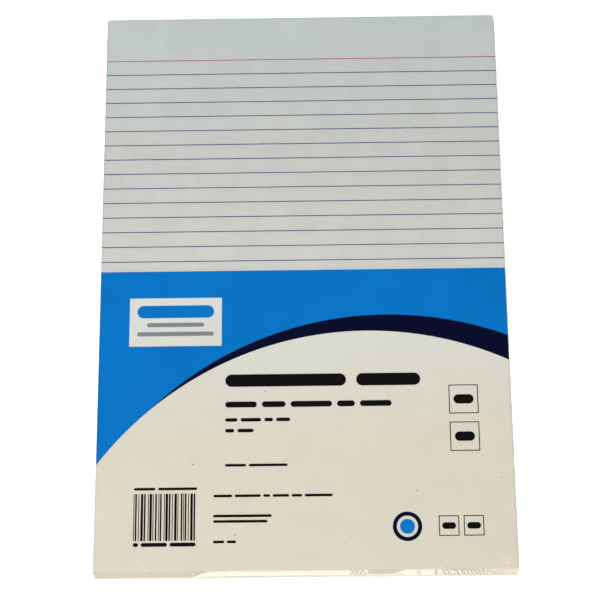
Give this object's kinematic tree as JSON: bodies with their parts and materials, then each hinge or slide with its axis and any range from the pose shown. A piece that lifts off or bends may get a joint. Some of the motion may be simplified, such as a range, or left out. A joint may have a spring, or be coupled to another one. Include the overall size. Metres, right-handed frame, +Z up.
{
  "type": "writing pad",
  "caption": "Ruled writing pad with a grey backing board, gummed head edge and a half-height printed label, sealed in clear shrink film.",
  "frame": {"origin": "centre of the backing board's underside, on which the pad lies", "axes": "+X to the right and +Y towards the gummed head edge, as the pad is read; +Z up out of the top sheet"},
  "size_m": [0.2112, 0.3015, 0.0089],
  "materials": {
    "grey_board": "matt, fibrous",
    "white_paper": "matt, uncoated",
    "clear_gum": "satin",
    "red_ink": "matt print",
    "rule_ink": "matt print",
    "label_paper": "smooth",
    "blue_ink": "smooth print",
    "navy_ink": "smooth print",
    "grey_ink": "smooth print",
    "black_ink": "smooth print",
    "clear_film": "clear, glossy"
  },
  "bodies": {
    "root": {"backing_board": "grey_board", "sheet_block": "white_paper", "gum_binding": "clear_gum", "red_head_rule": "red_ink", "blue_rules": "rule_ink", "cover_label": "label_paper", "label_blue_field": "blue_ink", "label_navy_band": "navy_ink", "label_panel_title": "blue_ink", "label_panel_lines": "grey_ink", "label_heading": "black_ink", "label_text_lines": "black_ink", "label_stripe_block": "black_ink", "label_size_boxes": "black_ink", "label_emblem_ring": "navy_ink", "label_emblem_disc": "blue_ink", "shrink_film": "clear_film"}
  },
  "joints": []
}
